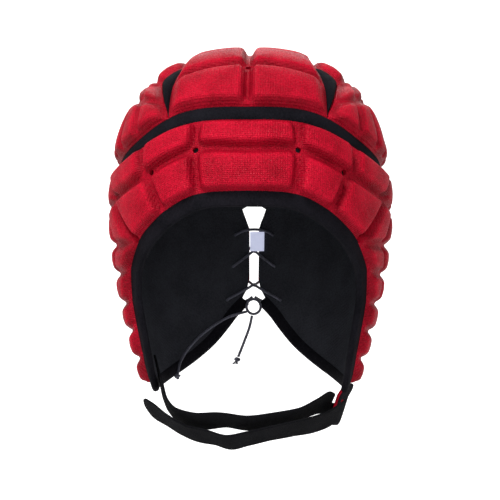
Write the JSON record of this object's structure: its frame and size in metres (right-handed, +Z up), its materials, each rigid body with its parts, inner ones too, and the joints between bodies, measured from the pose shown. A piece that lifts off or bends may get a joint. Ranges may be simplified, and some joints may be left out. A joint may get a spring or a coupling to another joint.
{
  "type": "rugby scrum cap",
  "caption": "Padded rugby scrum cap: red foam pads over a black lining, laced at the back, with a chin strap.",
  "frame": {"origin": "inside of the crown, where the top of the head meets the lining", "axes": "+Z up, the face opening looks along -Y, +X is the wearer's left"},
  "size_m": [0.1984, 0.2223, 0.2745],
  "materials": {
    "red_fabric": "knitted fabric over moulded foam, slight sheen",
    "black_stretch": "black stretch knit, matte",
    "black_binding": "folded stretch binding, matte",
    "black_webbing": "soft hook and loop strap, matte",
    "black_lining": "black knitted lining, matte",
    "white_label": "woven label, left bare",
    "black_cord": "round braided cord"
  },
  "bodies": {
    "root": {"crown_panel": "red_fabric", "crown_side_left": "red_fabric", "crown_side_right": "red_fabric", "brow_panel": "red_fabric", "side_panel_left": "red_fabric", "side_panel_right": "red_fabric", "strap_keeper": "red_fabric", "gusset_left": "black_stretch", "gusset_right": "black_stretch", "stretch_band": "black_stretch", "face_binding": "black_binding", "neck_binding_left": "black_binding", "neck_binding_right": "black_binding", "chin_strap": "black_webbing", "lining": "black_lining", "label": "white_label", "lace": "black_cord", "lace_knot": "black_cord", "lace_end_long": "black_cord", "lace_end_short": "black_cord", "lace_tip_knot": "black_cord", "lace_tip_fray": "black_cord"}
  },
  "joints": []
}
